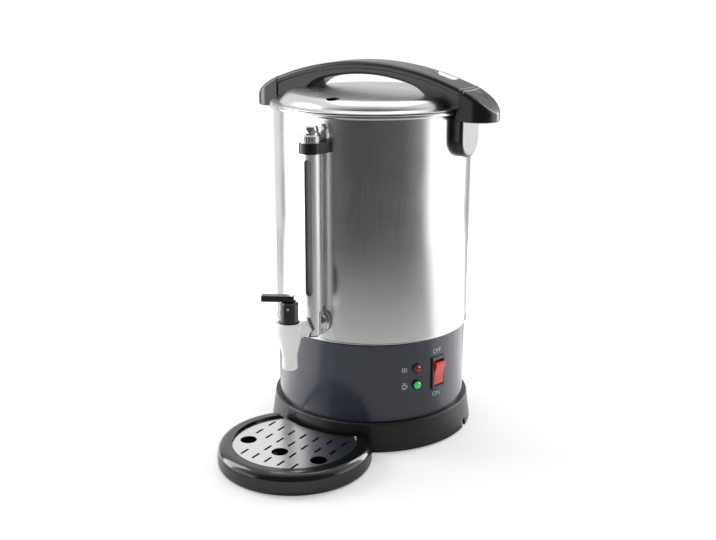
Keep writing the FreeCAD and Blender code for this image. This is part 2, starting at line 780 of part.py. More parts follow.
def make_arch_top():
    radius = ARCH_TOP_CURVE_R - ARCH_SPLIT
    centre = ARCH_TOP_Z - ARCH_TOP_CURVE_R
    end = ARCH_END_R + 4
    low_z = centre + math.sqrt(radius ** 2 - end ** 2)
    side = arch_band(0.0, [(end, low_z), (0, centre + radius, "arc"), (-end, low_z)])
    arch = pulled(side, 40).common(arch_plan(0.0)).common(arch_ends())
    top_edges = edges_where(arch, lambda e, m: abs(m.y) > 15 and m.z > centre + math.sqrt(
        (ARCH_TOP_CURVE_R - 1.0) ** 2 - m.x ** 2))
    return arch.makeFillet(ARCH_ROUND, top_edges).cut(arch_slot())


def arch_underside():
    """The underside's outline: a long flat arc that runs smoothly into a tighter arc down each leg."""
    rise = ARCH_UNDER_Z - ARCH_KNEE_Z
    long_r = (ARCH_KNEE_X ** 2 + rise ** 2) / (2 * rise)
    knee = Vec(ARCH_KNEE_X, 0, ARCH_KNEE_Z)
    toe = Vec(ARCH_LEG_X, 0, LID_FLANGE_Z)
    inward = (Vec(0, 0, ARCH_UNDER_Z - long_r) - knee).normalize()
    drop = toe - knee
    leg_r = drop.dot(drop) / (2 * inward.dot(drop))
    centre = knee + inward * leg_r
    bend = centre + ((knee + toe) / 2 - centre).normalize() * leg_r
    return [
        (ARCH_LEG_X, LID_FLANGE_Z), (bend.x, bend.z, "arc"), (ARCH_KNEE_X, ARCH_KNEE_Z), (0, ARCH_UNDER_Z, "arc"),
        (-ARCH_KNEE_X, ARCH_KNEE_Z), (-bend.x, bend.z, "arc"), (-ARCH_LEG_X, LID_FLANGE_Z),
    ]


def make_arch_base():
    """Lower half with two legs that stand on the lid's shoulder."""
    drop = ARCH_SPLIT + ARCH_GROOVE
    end = ARCH_END_R + 4
    under = [(end, LID_FLANGE_Z)] + arch_underside() + [(-end, LID_FLANGE_Z)]
    arch = pulled(arch_band(drop, under), 40).common(arch_plan(1.2)).common(arch_ends())
    low_edges = edges_where(arch, lambda e, m: abs(m.y) > 14 and abs(m.x) < ARCH_LEG_X and (
        m.z < ARCH_UNDER_Z + 0.5) and e.Length > 20)
    arch = arch.makeFillet(ARCH_UNDER_ROUND, low_edges)
    core_end_z = LID_FLANGE_Z + 10.0
    core = pulled(arch_band(ARCH_SPLIT, [(end, core_end_z), (0, ARCH_UNDER_Z + 1.9, "arc"), (-end, core_end_z)]), 40)
    core = core.common(arch_plan(6.0)).common(arch_ends())
    lid_body = turned(lid_outer_outline(0.12) + [(130, LID_FLANGE_Z + LID_SHEET + 0.12), (130, 350), (0, 350)])
    return arch.fuse(core).cut(lid_body).cut(compound(lid_screw_bores(1.6))).cut(arch_slot())


def lid_screw_bores(radius):
    bores = []
    for x in (-LID_SCREW_X, LID_SCREW_X):
        for y in (-LID_SCREW_Y, LID_SCREW_Y):
            bores.append(cylinder(radius, LID_FLANGE_Z, LID_SCREW_TIP_Z + 1.0, x, y))
    return bores


def make_lid_screws():
    screws = []
    for x in (-LID_SCREW_X, LID_SCREW_X):
        for y in (-LID_SCREW_Y, LID_SCREW_Y):
            head = cylinder(3.6, LID_SCREW_SEAT_Z - LID_SCREW_HEAD_TALL, LID_SCREW_SEAT_Z, x, y)
            screws.append(head.fuse(cylinder(1.5, LID_SCREW_SEAT_Z, LID_SCREW_TIP_Z, x, y)))
    return compound(screws)


# Side handle: a lug screwed to the tank, and a grip that carries on the arch's line
def grip_plan():
    """The grip seen from above: straight sides and a round nose, pulled up past its whole height."""
    half = GRIP_HALF_WIDTH
    start = GRIP_NOSE_X - 21.0
    return pulled_up([
        (100, -half - 0.8), (start, -half), (GRIP_NOSE_X, 0, "arc"), (start, half), (100, half + 0.8),
    ], GRIP_UNDER_Z - 5, ARCH_HIGH_Z)


def make_side_handle():
    inner = 108.0
    centre = ARCH_TOP_Z - ARCH_TOP_CURVE_R
    inner_z = centre + math.sqrt(ARCH_TOP_CURVE_R ** 2 - inner ** 2)
    far = GRIP_NOSE_X + 2.0
    grip = pulled([
        (inner, inner_z), (GRIP_BEND_X, GRIP_BEND_Z, "arc"), (far, GRIP_NOSE_Z), (far, GRIP_UNDER_Z),
        (inner, GRIP_UNDER_Z),
    ], 40).common(grip_plan())
    upper = edges_where(grip, lambda e, m: m.z > GRIP_NOSE_Z - 0.5 and (abs(m.y) > 15 or m.x > GRIP_NOSE_X - 3))
    grip = grip.makeFillet(GRIP_ROUND, upper)
    lower = edges_where(grip, lambda e, m: m.z < GRIP_UNDER_Z + 0.1 and m.x > GRIP_NOSE_X - 8)
    grip = grip.makeFillet(GRIP_LOW_ROUND, lower)
    lug_r = LUG_HALF_WIDTH
    lug_z = LUG_BOTTOM_Z + lug_r
    lug = block(100, LUG_FACE_X, -lug_r, lug_r, lug_z, GRIP_UNDER_Z + 2)
    lug = lug.fuse(rod(lug_r, Vec(100, 0, lug_z), Vec(LUG_FACE_X, 0, lug_z))).removeSplitter()
    face_edges = edges_where(lug, lambda e, m: m.x > LUG_FACE_X - 0.01 and m.z < GRIP_UNDER_Z)
    lug = lug.makeFillet(LUG_ROUND, face_edges)
    handle = grip.fuse(lug).removeSplitter()
    rim_low = RIM_Z - RIM_BEAD_R - 0.2
    handle = handle.cut(cylinder(TANK_R + 0.02, LUG_BOTTOM_Z - 10, rim_low))
    handle = handle.cut(cylinder(LID_FLANGE_R + 1.6, rim_low - 0.2, LID_FLANGE_Z + 0.6))
    handle = handle.cut(cylinder(ARCH_END_R + SEAM_GAP, LID_FLANGE_Z + 0.5, ARCH_HIGH_Z))
    for y in (-SCREW_Y, SCREW_Y):
        handle = handle.cut(rod(2.02, Vec(100, y, SCREW_Z), Vec(HANDLE_SCREW_TIP_X + 0.5, y, SCREW_Z)))
    lean = math.radians(THUMB_LEAN)
    away = THUMB_BALL_R - THUMB_DEPTH
    thumb = Part.makeSphere(THUMB_BALL_R, Vec(THUMB_X + away * math.sin(lean), 0, THUMB_Z + away * math.cos(lean)))
    return handle.cut(thumb)


# Outlet through the tank wall, and the block that feeds both the gauge and the tap
def curved_washer(radius, bore, near, far):
    """A washer pressed against the round wall."""
    ring = rod(radius, Vec(0, -near, OUTLET_Z), Vec(0, -far, OUTLET_Z))
    return ring.cut(rod(bore, Vec(0, -near + 1, OUTLET_Z), Vec(0, -far - 1, OUTLET_Z)))


def make_outlet_washers():
    low = OUTLET_Z - 20
    high = OUTLET_Z + 20
    bore = SHANK_R + 0.2
    outside = curved_washer(12.4, bore, 105, TANK_R + WASHER_THICK).cut(cylinder(TANK_R + 0.02, low, high))
    inner = TANK_R - TANK_WALL
    inside = curved_washer(10.4, bore, inner - INNER_WASHER_THICK, 116).common(cylinder(inner - 0.02, low, high))
    return compound([outside, inside])


def make_outlet_nut():
    start = TANK_R - TANK_WALL - INNER_WASHER_THICK
    nut = hexagon(OUTLET_NUT_WIDTH, Vec(0, -start, OUTLET_Z), Vec(0, -start + 5, OUTLET_Z))
    return nut.cut(rod(SHANK_R + NUT_FIT, Vec(0, -60, OUTLET_Z), Vec(0, -130, OUTLET_Z)))


def make_outlet_block():
    """Shank, round flange and upright socket for the gauge, bored through both ways."""
    tip = TAP_NUT_Y - TAP_NUT_THICK - 3.4
    near = -TANK_R - WASHER_THICK
    far = near - FLANGE_THICK
    shank = rod(SHANK_R, Vec(0, -99, OUTLET_Z), Vec(0, tip, OUTLET_Z))
    flange = rod(FLANGE_R, Vec(0, near, OUTLET_Z), Vec(0, far, OUTLET_Z))
    flange = flange.makeChamfer(1.0, edges_where(flange, lambda e, m: m.y < far + 0.2 and e.Closed))
    collar = rod(COLLAR_R, Vec(0, far + 0.2, OUTLET_Z), Vec(0, far - 4.8, OUTLET_Z))
    socket = turned([
        (0, OUTLET_Z - 12.5), (7.5, OUTLET_Z - 12.5), (SOCKET_R, OUTLET_Z - 10.4),
        (SOCKET_R, GUARD_BOTTOM_Z - 0.2),
        (GLASS_SEAL_R, GUARD_BOTTOM_Z - 0.2), (GLASS_SEAL_R, OUTLET_Z + 5), (0, OUTLET_Z + 5),
    ])
    socket.translate(Vec(0, GAUGE_Y, 0))
    solid = shank.fuse(flange).fuse(collar).fuse(socket)
    solid = solid.cut(cylinder(GLASS_SEAL_R, OUTLET_Z + 6.3, GUARD_BOTTOM_Z, 0, GAUGE_Y))
    bore = rod(SHANK_BORE_R, Vec(0, -98, OUTLET_Z), Vec(0, tip - 1, OUTLET_Z))
    riser = cylinder(3.6, OUTLET_Z, OUTLET_Z + 6, 0, GAUGE_Y)
    return solid.cut(bore).cut(riser)


def make_tap_nut():
    nut = hexagon(TAP_NUT_WIDTH, Vec(0, TAP_NUT_Y, OUTLET_Z), Vec(0, TAP_NUT_Y - TAP_NUT_THICK, OUTLET_Z))
    return nut.cut(rod(SHANK_R + NUT_FIT, Vec(0, TAP_NUT_Y + 2, OUTLET_Z), Vec(0, TAP_NUT_Y - 10, OUTLET_Z)))


def make_gauge_glass():
    glass = cylinder(GLASS_R, OUTLET_Z + 6.4, GUARD_TOP_Z + 1, 0, GAUGE_Y)
    return glass.cut(cylinder(GLASS_R - GLASS_WALL, OUTLET_Z, GUARD_TOP_Z + 5, 0, GAUGE_Y))


def make_gauge_seals():
    """Soft rings round both ends of the glass."""
    seals = []
    low_ring = (OUTLET_Z + 6.4, OUTLET_Z + 13.0, GLASS_SEAL_R)
    high_ring = (GUARD_TOP_Z - 7, GUARD_TOP_Z - 0.5, GUARD_R - GUARD_WALL)
    for low, high, outer in (low_ring, high_ring):
        ring = cylinder(outer, low, high, 0, GAUGE_Y).cut(cylinder(GLASS_R, low - 1, high + 1, 0, GAUGE_Y))
        seals.append(ring)
    return compound(seals)


def make_gauge_guard():
    """Bright tube with a long window that faces outwards, turned a little to one side."""
    tube = cylinder(GUARD_R, GUARD_BOTTOM_Z, GUARD_TOP_Z, 0, GAUGE_Y)
    tube = tube.cut(cylinder(GUARD_R - GUARD_WALL, GUARD_BOTTOM_Z - 1, GUARD_TOP_Z + 1, 0, GAUGE_Y))
    half = GUARD_SLOT_WIDTH / 2
    far = GAUGE_Y - GUARD_R - 3
    window = block(-half, half, far, GAUGE_Y, GUARD_SLOT_LOW_Z + half, GUARD_SLOT_HIGH_Z - half)
    for z in (GUARD_SLOT_LOW_Z + half, GUARD_SLOT_HIGH_Z - half):
        window = window.fuse(rod(half, Vec(0, far, z), Vec(0, GAUGE_Y, z)))
    window.rotate(Vec(0, GAUGE_Y, 0), UP, GUARD_SLOT_TURN)
    return tube.cut(window)


def make_gauge_bracket():
    """Moulded strap round the guard, with an arm back to the tank."""
    half = GUARD_R + BRACKET_STRAP
    band = cylinder(half, BRACKET_LOW_Z, BRACKET_HIGH_Z, 0, GAUGE_Y)
    pad = BRACKET_PAD_HALF
    arm = pulled_up([(-half, -GAUGE_Y), (-pad, 104), (pad, 104), (half, -GAUGE_Y)], BRACKET_LOW_Z, BRACKET_HIGH_Z)
    low = BRACKET_LOW_Z - 5
    high = BRACKET_HIGH_Z + 5
    strap = band.fuse(arm).cut(cylinder(TANK_R + 0.02, low, high))
    return strap.cut(cylinder(GUARD_R, low, high, 0, GAUGE_Y)).removeSplitter()


def make_gauge_cap():
    """Bright cap with a notched skirt and a faceted knob."""
    low = GUARD_TOP_Z
    mid = low + CAP_SKIRT_TALL
    top = low + CAP_TALL
    skirt = turned([
        (0, low), (GUARD_R - 0.2, low), (GUARD_R, low + 1), (GUARD_R, mid - 1.4), (GUARD_R - 1.2, mid), (0, mid),
    ])
    knob = turned([
        (0, mid), (KNOB_R, mid), (KNOB_R - 0.3, mid + 2), (KNOB_R - 1.8, top - 1.4),
        (KNOB_R - 2.8, top - 0.4), (0, top),
    ])
    facets = []
    for index in range(CAP_FACETS):
        facets.append(at_angle(block(-8, 8, -16, 1.1 - KNOB_R, mid + 1.8, top - 1.6), index * 360.0 / CAP_FACETS))
    knob = knob.cut(compound(facets))
    grooves = []
    for index in range(CAP_FLUTES):
        flute = cylinder(CAP_FLUTE_R, low + 1.2, mid - 1.4, 0, -GUARD_R - 0.1)
        grooves.append(at_angle(flute, index * 360.0 / CAP_FLUTES))
    cap = skirt.cut(compound(grooves)).fuse(knob)
    cap = cap.cut(cylinder(GLASS_R + 0.4, low - 1, low + 3))
    cap.translate(Vec(0, GAUGE_Y, 0))
    return cap


# Tap: a milky cup with a nozzle, a black bonnet and a lever on a cross pin
def at_tap(shape):
    """A copy of a shape drawn on the tank's axis, moved to the tap's axis."""
    copy = shape.copy()
    copy.translate(Vec(0, TAP_Y, 0))
    return copy


def make_tap_body():
    inner = CUP_R - CUP_WALL
    inner_low = SEAT_Z + 13.0
    bore = NOZZLE_R - NOZZLE_WALL
    cup = turned([
        (bore, NOZZLE_BOTTOM_Z), (NOZZLE_R - 0.5, NOZZLE_BOTTOM_Z), (NOZZLE_R, NOZZLE_BOTTOM_Z + 0.8),
        (NOZZLE_R, NOZZLE_TOP_Z), (CUP_R - 0.6, CUP_BAND_Z - 2.0), (CUP_R, CUP_BAND_Z), (CUP_R, CUP_TOP_Z - 0.8),
        (CUP_R - 0.8, CUP_TOP_Z), (inner, CUP_TOP_Z), (inner, inner_low), (SEAT_OUTER_R, SEAT_Z),
        (SEAT_BORE_R, SEAT_Z), (SEAT_BORE_R, SEAT_Z - 2.5), (bore, SEAT_Z - 5.5),
    ])
    cup = at_tap(cup)
    above = CUP_TOP_Z + 5
    well = at_tap(turned([(0, SEAT_Z), (SEAT_OUTER_R, SEAT_Z), (inner, inner_low), (inner, above), (0, above)]))
    start = TAP_NUT_Y - TAP_NUT_THICK - 0.3
    inlet = rod(8.0, Vec(0, start, OUTLET_Z), Vec(0, TAP_Y, OUTLET_Z)).cut(well)
    inlet = inlet.cut(rod(SHANK_R + 0.1, Vec(0, start + 1, OUTLET_Z), Vec(0, start - 4, OUTLET_Z)))
    return cup.fuse(inlet).cut(rod(SHANK_BORE_R, Vec(0, start + 2, OUTLET_Z), Vec(0, TAP_Y, OUTLET_Z)))


def make_seat_cup():
    """Soft plug that closes the nozzle."""
    return at_tap(turned([
        (2.02, SEAT_Z + 0.05), (6.2, SEAT_Z + 0.05), (6.8, SEAT_Z + 1.2), (7.2, SEAT_Z + 7), (6.0, SEAT_Z + 9),
        (2.02, SEAT_Z + 9),
    ]))


def make_tap_stem():
    """Rod from the seat cup up to a flat head that the lever's toe lifts."""
    shoulder = SEAT_Z + 9.05
    head_top = STEM_HEAD_Z + STEM_HEAD_THICK
    return at_tap(turned([
        (0, SEAT_Z + 0.3), (TAP_STEM_R, SEAT_Z + 0.3), (TAP_STEM_R, shoulder), (3.4, shoulder),
        (3.4, shoulder + 1.35), (TAP_STEM_R, shoulder + 1.35), (TAP_STEM_R, STEM_HEAD_Z),
        (STEM_HEAD_R, STEM_HEAD_Z), (STEM_HEAD_R, head_top), (0, head_top),
    ]))


def lever_frame(shape):
    """Turn a shape drawn along -Y at the tap's axis to the lever's direction, and set it on the tap."""
    copy = shape.copy()
    copy.rotate(ORIGIN, UP, LEVER_ANGLE)
    copy.translate(Vec(0, TAP_Y, 0))
    return copy


def make_bonnet():
    """Screwed bonnet with a slot across it for the lever and a guide hole for the stem."""
    guide = TAP_STEM_R + 0.06
    skirt = CUP_R - CUP_WALL - 0.6
    low = CUP_TOP_Z - 7.0
    body = turned([
        (guide, low), (skirt, low), (skirt, CUP_TOP_Z + 0.5), (BONNET_R, CUP_TOP_Z + 1.0),
        (BONNET_R, BONNET_TOP_Z - 1.2), (BONNET_R - 1.2, BONNET_TOP_Z), (guide, BONNET_TOP_Z),
    ])
    half = LEVER_WIDTH / 2 + 0.4
    slot = block(-half, half, -BONNET_R - 3, BONNET_WELL_R - 0.8, PIN_Z - 5.2, BONNET_TOP_Z + 2)
    well = cylinder(BONNET_WELL_R, PIN_Z - 15.5, PIN_Z - 2.0)
    cross = rod(PIN_R, Vec(-20, 0, PIN_Z), Vec(20, 0, PIN_Z))
    body = body.cut(slot).cut(well)
    return lever_frame(body.cut(cross))


def make_lever():
    """Flat bar with a neck on the pin and a toe that lifts the stem's head."""
    low = BONNET_TOP_Z + 0.6
    half = LEVER_WIDTH / 2
    bar = block(-half, half, -LEVER_LENGTH, LEVER_BACK, low, low + LEVER_THICK)
    bar = bar.makeFillet(1.2, edges_where(bar, lambda e, m: m.z > low + 0.1 or abs(m.y + LEVER_LENGTH) < 0.1))
    side = LEVER_NECK_HALF
    neck = block(-side, side, -3.0, 3.0, PIN_Z - 2.0, low + 1)
    eye = rod(2.8, Vec(-side, 0, PIN_Z), Vec(side, 0, PIN_Z))
    back = block(-side, side, TOE_BACK_Y - 1.2, TOE_BACK_Y, TOE_TOP_Z - TOE_THICK, PIN_Z)
    link = block(-side, side, 2.0, TOE_BACK_Y, PIN_Z - 1.6, PIN_Z + 0.6)
    toe = block(-side, side, 2.6, TOE_BACK_Y, TOE_TOP_Z - TOE_THICK, TOE_TOP_Z)
    lever = bar.fuse(neck).fuse(eye).fuse(link).fuse(back).fuse(toe).removeSplitter()
    return lever_frame(lever.cut(rod(PIN_R + PIN_FIT, Vec(-9, 0, PIN_Z), Vec(9, 0, PIN_Z))))


def make_lever_pin():
    return lever_frame(rod(PIN_R, Vec(-BONNET_R + 0.1, 0, PIN_Z), Vec(BONNET_R - 0.1, 0, PIN_Z)))


# Switch with a rocker, two lamps and the power inlet
def make_switch_body():
    """Bezel, skirt with a well for the rocker, and three blade tags inside the base."""
    bezel = facing_box(SWITCH_WIDTH, SWITCH_HEIGHT, -0.05, 2.2, SWITCH_Z)
    bezel = bezel.makeFillet(1.0, edges_where(bezel, lambda e, m: m.y < -BAND_R - 2.1))
    wide = SWITCH_WIDTH - 2 * SWITCH_OVERLAP - 0.4
    tall = SWITCH_HEIGHT - 2 * SWITCH_OVERLAP - 0.4
    skirt = facing_box(wide, tall, 16, 1.0, SWITCH_Z)
    body = bezel.fuse(skirt).cut(cylinder(BAND_R + 0.02, SWITCH_Z - 30, SWITCH_Z + 30).cut(
        facing_box(wide, tall, 40, 5, SWITCH_Z)))
    body = body.cut(facing_box(ROCKER_WIDTH + 0.6, ROCKER_HEIGHT + ROCKER_SWING_ROOM, 11, 5, SWITCH_Z))
    for step in (-9, 0, 9):
        z = SWITCH_Z + step
        body = body.fuse(block(-2.4, 2.4, -BAND_R + 15.5, -BAND_R + 24, z - 0.4, z + 0.4))
    half = ROCKER_WIDTH / 2 + 1.2
    axle = rod(1.0, Vec(-half, -ROCKER_PIVOT_R, SWITCH_Z), Vec(half, -ROCKER_PIVOT_R, SWITCH_Z))
    return at_angle(body.cut(axle), SWITCH_ANGLE)


def make_rocker():
    """Two-way rocker. Its face is a shallow V, and it rests with its lower end pressed in."""
    half = ROCKER_WIDTH / 2
    tall = ROCKER_HEIGHT / 2
    front = BAND_R + 2.6
    face = [
        (-front, 0), (-front - 1.3, tall - 1.0), (-front + 0.2, tall), (-BAND_R + 4.5, tall - 3.2),
        (-BAND_R + 6.4, 0), (-BAND_R + 4.5, -tall + 3.2), (-front + 0.2, -tall), (-front - 1.3, -tall + 1.0),
    ]
    wire = Part.makePolygon([Vec(-half, y, z) for y, z in face] + [Vec(-half, face[0][0], face[0][1])])
    rocker = Part.Face(wire).extrude(Vec(2 * half, 0, 0))
    stub = rod(0.94, Vec(-half - 1.0, -ROCKER_PIVOT_R, 0), Vec(half + 1.0, -ROCKER_PIVOT_R, 0))
    rocker = rocker.fuse(stub)
    rocker.rotate(Vec(0, -ROCKER_PIVOT_R, 0), Vec(1, 0, 0), ROCKER_TILT)
    rocker.translate(Vec(0, 0, SWITCH_Z))
    return at_angle(rocker, SWITCH_ANGLE)


def make_lamp_lens(z):
    """Faceted dome with a shank that goes through the band."""
    dome = turned([(0, 0), (LAMP_R - 1.3, 0), (LAMP_R - 1.3, 7.8), (LAMP_R - 1.6, 9.4), (2.6, 11.2), (0, 11.6)])
    return lamp_piece(dome, z)


def make_lamp_bezels():
    bezels = []
    for z in (RED_LAMP_Z, GREEN_LAMP_Z):
        ring = turned([
            (LAMP_R - 1.2, -6), (LAMP_R - 1.05, -6), (LAMP_R - 1.05, 6.3), (LAMP_R, 6.3), (LAMP_R, 8.2),
            (LAMP_R - 0.4, 8.9), (LAMP_R - 1.2, 8.9)])
        bezels.append(lamp_piece(ring, z))
    return compound(bezels)


def lamp_piece(shape, z):
    """Lay an upright turned shape on its side at the band, its top facing out."""
    copy = shape.copy()
    copy.rotate(ORIGIN, Vec(1, 0, 0), 90)
    copy.translate(Vec(0, -BAND_R + 6.2, z))
    return at_angle(copy, LAMP_ANGLE)


def make_inlet():
    """Power inlet of the usual shape: a flange, a socket and three slits that its pins stand in."""
    wide = INLET_WIDTH + 2 * INLET_FLANGE
    tall = INLET_HEIGHT + 2 * INLET_FLANGE
    flange = facing_box(wide, tall, -0.05, 2.4, INLET_Z)
    corners = edges_where(flange, lambda e, m: (
        abs(abs(m.x) - wide / 2) < 0.1 and abs(abs(m.z - INLET_Z) - tall / 2) < 0.1))
    flange = flange.makeFillet(INLET_CORNER_R, corners)
    skirt = facing_box(INLET_WIDTH, INLET_HEIGHT, 18, 1.0, INLET_Z)
    body = flange.fuse(skirt).cut(cylinder(BAND_R + 0.02, INLET_Z - 20, INLET_Z + 20).cut(
        facing_box(INLET_WIDTH, INLET_HEIGHT, 40, 5, INLET_Z)))
    socket = facing_box(INLET_WIDTH - 3.0, INLET_HEIGHT - 3.5, 14, 5, INLET_Z)
    body = at_angle(body.cut(socket).removeSplitter(), INLET_ANGLE)
    return body.cut(inlet_blades(0.02))


def inlet_blades(grow):
    """Three flat pins, grown all round by a small fit."""
    blades = []
    for x, z in INLET_PIN_SPOTS:
        half = 1 + grow
        tall = 2 + grow
        blade = block(x - half, x + half, -BAND_R - 0.5, -BAND_R + 22, INLET_Z + z - tall, INLET_Z + z + tall)
        blades.append(at_angle(blade, INLET_ANGLE))
    return compound(blades)


# Drip tray: a round dish with a bite out of its back, and a slotted plate in it
def disc_face(radius, x, y):
    return Part.Face(Part.Wire(Part.makeCircle(radius, Vec(x, y, 0), UP)))


def bitten_disc(radius, bite, low, high, corner):
    """A round plate with the base ring's circle cut out of it and its two points rounded."""
    plate = disc_face(radius, TRAY_X, TRAY_Y).cut(disc_face(bite, 0, 0))
    solid = plate.extrude(Vec(0, 0, high - low))
    solid.translate(Vec(0, 0, low))
    points = edges_where(solid, lambda e, m: abs(e.Vertexes[0].Point.x - e.Vertexes[-1].Point.x) < 0.01 and abs(
        e.Vertexes[0].Point.y - e.Vertexes[-1].Point.y) < 0.01 and not e.Closed)
    return solid.makeFillet(corner, points)


def make_tray():
    tray = bitten_disc(TRAY_R, TRAY_BITE_R, 0, TRAY_HEIGHT, TRAY_CORNER_R)
    tray = tray.makeFillet(TRAY_ROUND, edges_where(tray, lambda e, m: m.z > TRAY_HEIGHT - 0.01))
    tray = tray.makeFillet(TRAY_LOW_ROUND, edges_where(tray, lambda e, m: m.z < 0.01))
    above = TRAY_HEIGHT + 5
    well = bitten_disc(GRID_R - 2.0, GRID_BITE_R + 2.0, TRAY_FLOOR, above, 8.0)
    shelf = bitten_disc(GRID_R + GRID_FIT, GRID_BITE_R - GRID_FIT, GRID_TOP_Z - GRID_SHEET - 0.1, above, 8.6)
    return tray.cut(well).cut(shelf)


def grid_slot(x, y):
    half = SLOT_WIDTH / 2
    reach = SLOT_LENGTH / 2 - half
    low = GRID_TOP_Z - 4
    bar = block(x - half, x + half, y - reach, y + reach, low, GRID_TOP_Z + 4)
    for end in (y - reach, y + reach):
        bar = bar.fuse(cylinder(half, low, GRID_TOP_Z + 4, x, end))
    return bar


def make_grid():
    """Slotted plate. Its rows follow the base ring, and three large holes stand in the third row."""
    plate = bitten_disc(GRID_R, GRID_BITE_R, GRID_TOP_Z - GRID_SHEET, GRID_TOP_Z, 8.4)
    cuts = []
    for row, radius in enumerate(ROW_RADII):
        for index in range(-5, 6):
            x = TRAY_X + index * SLOT_PITCH
            if abs(x) > radius:
                continue
            y = -math.sqrt(radius ** 2 - x ** 2)
            edge = math.hypot(x - TRAY_X, abs(y - TRAY_Y) + SLOT_LENGTH / 2)
            near_hole = row == HOLE_ROW and min(abs(x - TRAY_X - k * HOLE_PITCH) for k in (-1, 0, 1)) < CUP_HOLE_R + 5
            if edge < GRID_R - 4 and not near_hole:
                cuts.append(grid_slot(x, y))
    for k in (-1, 0, 1):
        x = TRAY_X + k * HOLE_PITCH
        y = -math.sqrt(ROW_RADII[HOLE_ROW] ** 2 - x ** 2)
        cuts.append(cylinder(CUP_HOLE_R, GRID_TOP_Z - 5, GRID_TOP_Z + 5, x, y))
    return plate.cut(compound(cuts))


def main():
    save("tank_body", make_tank())
    save("base_band", make_band())
    save("base_ring", make_ring())
    save("base_pan", make_base_pan())
    save("base_screws", make_base_screws())
    save("rubber_feet", make_feet())
    save("heater_plate", make_heater_plate())
    save("heating_element", open_loop(ELEMENT_R, 4.0, PLATE_LOW_Z - 4.0, 16, ELEMENT_LEG))
    save("keep_warm_element", open_loop(WARM_ELEMENT_R, 3.0, PLATE_LOW_Z - 3.0, 20, WARM_ELEMENT_LEG))
    save("element_clamp", make_clamp())
    save("clamp_stud", make_clamp_stud())
    save("boil_thermostat", disc_switch(8.0, 12.0, 150))
    save("thermal_cutout", disc_switch(6.5, 10.0, 205))
    save("terminal_block", make_terminal_block())
    save("wiring_loom", make_wiring())
    save("pump_stem", make_pump_stem())
    save("coffee_basket", make_basket())
    save("basket_cover", make_basket_cover())
    handle = make_side_handle()
    save("side_handle_right", handle)
    save("side_handle_left", handle.mirror(ORIGIN, Vec(1, 0, 0)))
    save("handle_screws", make_handle_screws())
    save("lid_pan", make_lid_pan())
    save("lid_seal", make_lid_seal())
    save("arch_handle_top", make_arch_top())
    save("arch_handle_base", make_arch_base())
    save("lid_screws", make_lid_screws())
    save("outlet_washers", make_outlet_washers())
    save("outlet_nut", make_outlet_nut())
    save("outlet_block", make_outlet_block())
    save("tap_nut", make_tap_nut())
    save("gauge_glass", make_gauge_glass())
    save("gauge_seals", make_gauge_seals())
    save("gauge_guard", make_gauge_guard())
    save("gauge_bracket", make_gauge_bracket())
    save("gauge_cap", make_gauge_cap())
    save("tap_body", make_tap_body())
    save("tap_bonnet", make_bonnet())
    save("tap_lever", make_lever())
    save("lever_pin", make_lever_pin())
    save("tap_stem", make_tap_stem())
    save("seat_cup", make_seat_cup())
    save("switch_body", make_switch_body())
    save("switch_rocker", make_rocker())
    save("red_lamp", make_lamp_lens(RED_LAMP_Z))
    save("green_lamp", make_lamp_lens(GREEN_LAMP_Z))
    save("lamp_bezels", make_lamp_bezels())
    save("power_inlet", make_inlet())
    save("inlet_pins", inlet_blades(0.0))
    save("drip_tray", make_tray())
    save("drip_grid", make_grid())


main()
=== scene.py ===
import json
import math

import bmesh
import bpy
from mathutils import Matrix, Vector


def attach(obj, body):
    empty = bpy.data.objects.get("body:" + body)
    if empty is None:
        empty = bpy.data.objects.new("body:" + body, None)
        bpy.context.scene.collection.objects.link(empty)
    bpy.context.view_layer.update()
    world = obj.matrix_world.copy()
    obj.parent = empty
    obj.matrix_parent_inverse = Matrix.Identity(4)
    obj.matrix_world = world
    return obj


# Looks of the urn, in metres, in the same frame as its solids: the tank's axis is Z, the tap points along -Y.

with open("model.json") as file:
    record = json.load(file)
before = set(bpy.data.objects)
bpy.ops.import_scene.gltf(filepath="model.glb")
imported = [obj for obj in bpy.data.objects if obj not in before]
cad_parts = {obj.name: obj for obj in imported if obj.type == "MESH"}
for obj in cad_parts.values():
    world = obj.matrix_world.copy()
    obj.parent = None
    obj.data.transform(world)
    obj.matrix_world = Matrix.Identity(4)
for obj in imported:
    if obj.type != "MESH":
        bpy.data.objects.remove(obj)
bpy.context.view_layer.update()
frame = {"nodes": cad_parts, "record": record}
nodes = frame["nodes"]

# Camera, fitted to the photograph's frame
IMAGE_WIDTH = 716
VIEW_AZIMUTH = 30.495
VIEW_REACH = 1.178115
VIEW_HEIGHT = 0.523314
VIEW_YAW = -0.781
VIEW_PITCH = 16.373
VIEW_ROLL = 0.126
FOCAL_PIXELS = 1055.861
SENSOR = 36.0

# The band and what is printed on it
BAND_R = 0.1085
PRINT_IN = 0.00004
PRINT_OUT = 0.00009
PRINT_HALF = 0.0001
SWITCH_ANGLE = 72.6
OFF_Z = 0.1082
ON_Z = 0.0577
LETTER_SIZE = 0.0074
LETTER_STEPS = 4
LAMP_ANGLE = 58.0
RED_LAMP_Z = 0.0932
GREEN_LAMP_Z = 0.0744
ICON_OFFSET = 0.0150
STROKE = 0.00075
WHITE_PRINT = (0.72, 0.74, 0.76)

# The icons: three heat waves, and a steaming cup on a line
HEAT_SPREAD = 0.0022
HEAT_HALF_TALL = 0.0027
WAVE_SWING = 0.0006
CUP_BRIM_Z = 0.0008
CUP_MIDDLE_Z = -0.0006
CUP_R = 0.0023
CUP_HALF_WIDTH = 0.0025
CUP_BRIM_HALF_WIDTH = 0.0029
CUP_HANDLE_X = 0.0027
CUP_HANDLE_R = 0.0011
SAUCER_HALF_WIDTH = 0.0026
SAUCER_Z = -0.0034
STEAM_X = 0.0009
STEAM_LOW_Z = 0.0018
STEAM_HIGH_Z = 0.0036

